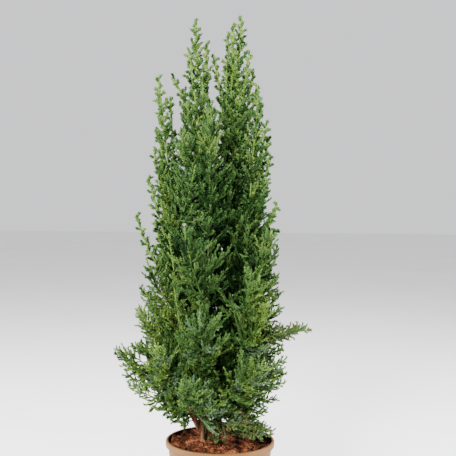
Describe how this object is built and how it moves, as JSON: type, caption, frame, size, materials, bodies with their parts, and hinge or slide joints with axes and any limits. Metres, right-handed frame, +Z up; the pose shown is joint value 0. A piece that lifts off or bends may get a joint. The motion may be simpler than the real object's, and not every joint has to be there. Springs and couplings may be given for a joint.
{
  "type": "potted lawson cypress",
  "caption": "Young columnar Lawson cypress with several upright feathery leaders, growing in a plain round tapered nursery pot filled with peat.",
  "frame": {"origin": "middle of the pot's flat underside, on the surface that the pot stands on", "axes": "+Z up along the plant, +X to the right and -Y towards the viewer, seen from the plant's face"},
  "size_m": [0.2348, 0.2062, 0.621],
  "materials": {
    "pot_plastic": "satin taupe moulded plastic",
    "peat": "loose reddish-brown peat and coir",
    "bark": "reddish-brown flaking young bark",
    "foliage": "small scale leaves, fresh green tips over blue-green and deep green"
  },
  "bodies": {
    "root": {"bough_low_back": "bark", "bough_low_front": "bark", "bough_low_left": "bark", "bough_low_right": "bark", "bough_side_right": "bark", "leader_back_left": "foliage", "leader_back_right": "foliage", "leader_far_right": "foliage", "leader_front": "foliage", "leader_left": "foliage", "leader_right": "foliage", "leader_trunk": "foliage", "plume_1b": "foliage", "plume_1c": "foliage", "plume_1d": "foliage", "plume_2a": "foliage", "plume_2b": "foliage", "plume_2c": "foliage", "plume_2d": "foliage", "plume_3a": "foliage", "plume_3b": "foliage", "plume_3c": "foliage", "plume_3d": "foliage", "plume_4a": "foliage", "plume_4b": "foliage", "plume_4c": "foliage", "plume_4d": "foliage", "plume_5a": "foliage", "plume_5b": "foliage", "plume_5c": "foliage", "plume_5d": "foliage", "plume_6a": "foliage", "plume_6b": "foliage", "plume_6c": "foliage", "plume_6d": "foliage", "plume_7a": "foliage", "plume_7b": "foliage", "plume_edge_left": "foliage", "plume_foot_left": "foliage", "plume_foot_right": "foliage", "plume_low_back": "foliage", "plume_low_front": "foliage", "plume_low_left": "foliage", "plume_low_right": "foliage", "plume_side_right": "foliage", "plume_thin_left": "foliage", "plume_under_right": "foliage", "plume_upper_left": "foliage", "plume_upper_middle": "foliage", "plume_upper_right": "foliage", "pot": "pot_plastic", "soil": "peat", "stem_back_left": "bark", "stem_back_right": "bark", "stem_far_right": "bark", "stem_front": "bark", "stem_left": "bark", "stem_right": "bark", "trunk": "bark"}
  },
  "joints": []
}
